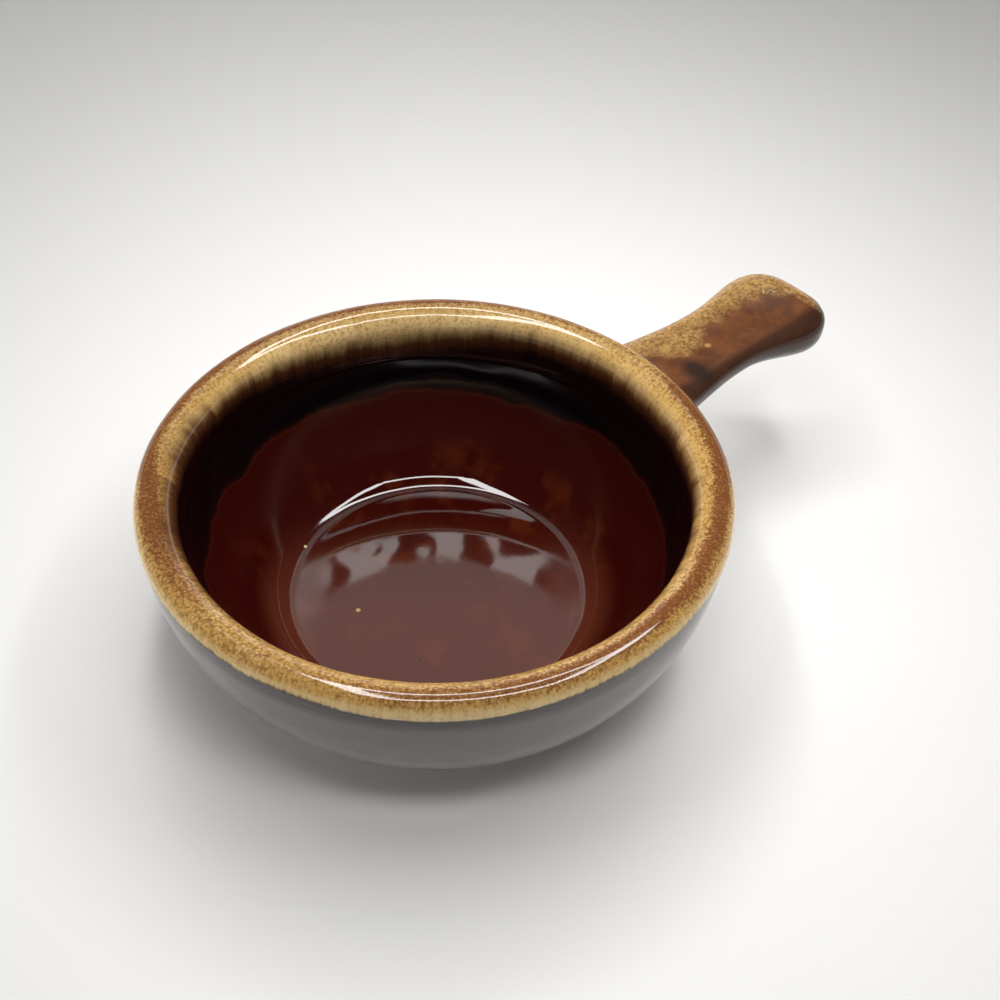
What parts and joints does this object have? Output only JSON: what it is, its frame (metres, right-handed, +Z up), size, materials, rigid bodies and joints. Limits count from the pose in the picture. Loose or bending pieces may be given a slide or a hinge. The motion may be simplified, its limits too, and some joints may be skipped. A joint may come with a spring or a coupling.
{
  "type": "stick-handled soup bowl",
  "caption": "Deep round stoneware soup bowl with a thick rolled rim, a turned foot and a stick handle on one side, glazed brown with a tan drip glaze over the rim.",
  "frame": {"origin": "centre of the foot ring, on the table", "axes": "+Z up along the bowl's axis, +X from the axis along the handle, +Y to the left of the handle"},
  "size_m": [0.1908, 0.1328, 0.05],
  "materials": {
    "stoneware": "matte",
    "bare_foot": "matte",
    "slip": "matte",
    "brown_glaze": "gloss",
    "brown_glaze_outside": "gloss",
    "tan_glaze": "gloss",
    "handle_brown_glaze": "gloss",
    "handle_tan_glaze": "gloss"
  },
  "bodies": {
    "root": {"bowl_body": "stoneware", "foot_ring": "bare_foot", "handle": "stoneware", "handle_luting": "slip", "inside_glaze": "brown_glaze", "outside_glaze": "brown_glaze_outside", "base_glaze": "brown_glaze_outside", "rim_drip_glaze": "tan_glaze", "handle_glaze": "handle_brown_glaze", "handle_drip_glaze": "handle_tan_glaze"}
  },
  "joints": []
}
